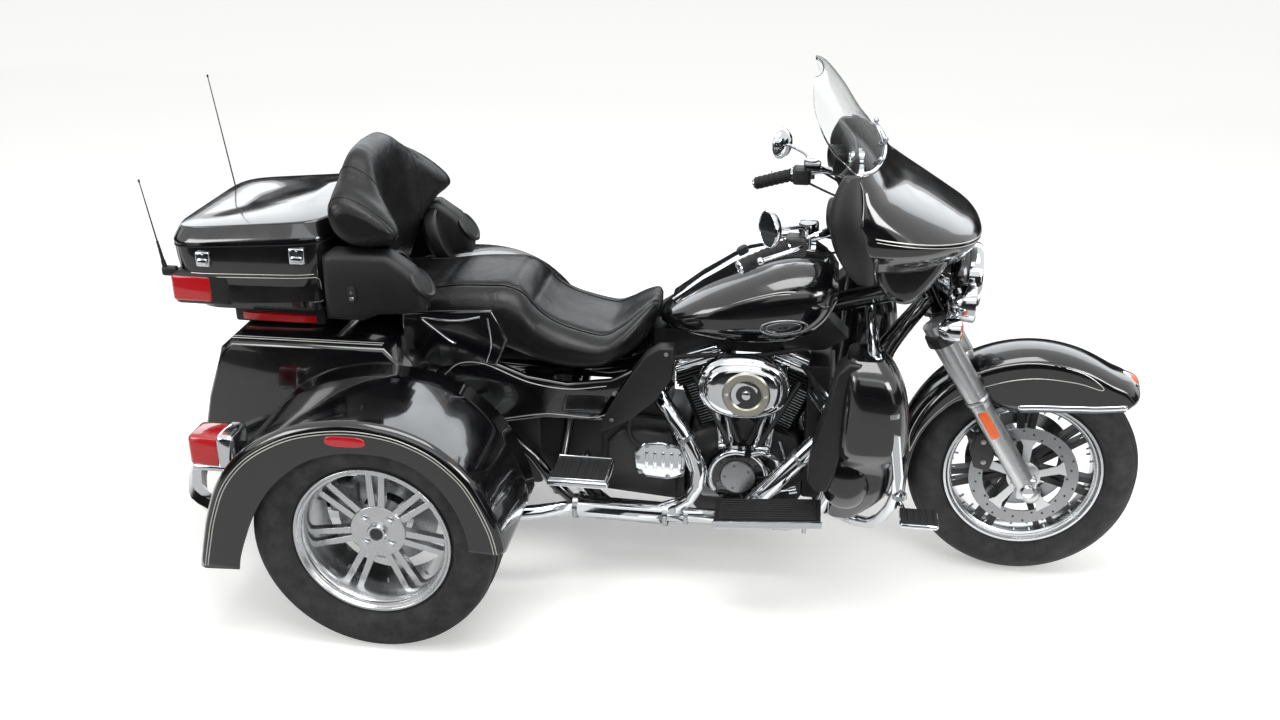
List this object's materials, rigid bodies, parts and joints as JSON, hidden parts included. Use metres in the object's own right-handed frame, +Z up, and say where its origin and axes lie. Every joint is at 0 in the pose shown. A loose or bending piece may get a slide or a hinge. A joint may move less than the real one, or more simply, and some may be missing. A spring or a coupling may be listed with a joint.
{
  "type": "motorized trike",
  "caption": "Full-dress motorized trike with a steered fork and fairing, V-twin engine, spinning wheels, opening top case and trunk, and folding footboards.",
  "frame": {"origin": "centre of the bounding box at ground level, under the middle of the vehicle", "axes": "+X forward, +Y to the vehicle's left, +Z up; the wheels spin about Y"},
  "size_m": [2.7465, 1.397, 1.43],
  "materials": {
    "gloss_black": "deep gloss black paint",
    "matte_black": "matte black moulded plastic",
    "chrome": "polished chrome plate",
    "aluminium": "machined and brushed aluminium",
    "engine_black": "black powder coat",
    "vinyl": "black grained vinyl",
    "rubber": "black tyre rubber",
    "red_lens": "red lamp lens",
    "clear": "clear polycarbonate"
  },
  "bodies": {
    "chassis": {"air_cleaner": "chrome", "antenna_left": "matte_black", "antenna_right": "matte_black", "backrest": "vinyl", "brake_pedal": "chrome", "bumper": "gloss_black", "console": "chrome", "crankcase": "aluminium", "cylinder_front": "engine_black", "cylinder_rear": "engine_black", "deflector_left": "matte_black", "deflector_right": "matte_black", "engine_guard": "chrome", "exhaust_pipes": "chrome", "fender_left": "gloss_black", "fender_right": "gloss_black", "frame": "gloss_black", "fuel_tank": "gloss_black", "gearbox": "aluminium", "lower_fairing_left": "gloss_black", "lower_fairing_right": "gloss_black", "muffler_left": "chrome", "muffler_right": "chrome", "primary_cover": "chrome", "rear_axle": "engine_black", "rear_lamp_left": "red_lens", "rear_lamp_right": "red_lens", "seat": "vinyl", "shift_lever": "chrome", "side_cover_left": "gloss_black", "side_cover_right": "gloss_black", "speaker_left": "matte_black", "speaker_right": "matte_black", "top_case_tub": "gloss_black", "trunk_body": "gloss_black"},
    "fork": {"fork_yokes": "chrome", "fork_leg_left": "chrome", "fork_leg_right": "chrome", "front_axle": "chrome", "front_fender": "gloss_black", "outer_fairing": "gloss_black", "inner_fairing": "matte_black", "windshield": "clear", "front_lamps": "chrome", "handlebar": "chrome"},
    "front_wheel": {"tyre_front": "rubber", "wheel_front": "aluminium"},
    "rear_wheel_right": {"tyre_rear_right": "rubber", "wheel_rear_right": "aluminium"},
    "rear_wheel_left": {"tyre_rear_left": "rubber", "wheel_rear_left": "aluminium"},
    "top_case_lid": {"top_case_lid": "gloss_black"},
    "tailgate": {"tailgate": "gloss_black"},
    "rider_board_right": {"rider_board_right": "matte_black"},
    "rider_board_left": {"rider_board_left": "matte_black"},
    "pillion_board_right": {"pillion_board_right": "chrome"},
    "pillion_board_left": {"pillion_board_left": "chrome"}
  },
  "joints": [
    {"name": "steering", "type": "hinge", "parent": "chassis", "child": "fork", "pos_m": [0.69068, 0, 0.97], "axis": [-0.4383, 0, 0.8988], "range_deg": [-30, 30]},
    {"name": "front_wheel_spin", "type": "hinge", "parent": "fork", "child": "front_wheel", "pos_m": [1.05375, 0, 0.3195], "axis": [0, 1, 0], "continuous": true},
    {"name": "rear_wheel_right_spin", "type": "hinge", "parent": "chassis", "child": "rear_wheel_right", "pos_m": [-0.63825, -0.5765, 0.3225], "axis": [0, 1, 0], "continuous": true},
    {"name": "rear_wheel_left_spin", "type": "hinge", "parent": "chassis", "child": "rear_wheel_left", "pos_m": [-0.63825, 0.5765, 0.3225], "axis": [0, 1, 0], "continuous": true},
    {"name": "top_case_lid_hinge", "type": "hinge", "parent": "chassis", "child": "top_case_lid", "pos_m": [-1.06825, 0.274, 0.962], "axis": [-0.9973, 0, -0.074], "range_deg": [0, 75]},
    {"name": "tailgate_hinge", "type": "hinge", "parent": "chassis", "child": "tailgate", "pos_m": [-1.23273, 0, 0.43649], "axis": [0, -1, 0], "range_deg": [0, 88]},
    {"name": "rider_board_right_tilt", "type": "hinge", "parent": "chassis", "child": "rider_board_right", "pos_m": [0.35175, -0.295, 0.307], "axis": [-1, 0, 0], "range_deg": [0, 20]},
    {"name": "rider_board_left_tilt", "type": "hinge", "parent": "chassis", "child": "rider_board_left", "pos_m": [0.35175, 0.295, 0.307], "axis": [1, 0, 0], "range_deg": [0, 20]},
    {"name": "pillion_board_right_fold", "type": "hinge", "parent": "chassis", "child": "pillion_board_right", "pos_m": [-0.15125, -0.285, 0.406], "axis": [-1, 0, 0], "range_deg": [0, 75]},
    {"name": "pillion_board_left_fold", "type": "hinge", "parent": "chassis", "child": "pillion_board_left", "pos_m": [-0.15125, 0.285, 0.406], "axis": [1, 0, 0], "range_deg": [0, 75]}
  ]
}
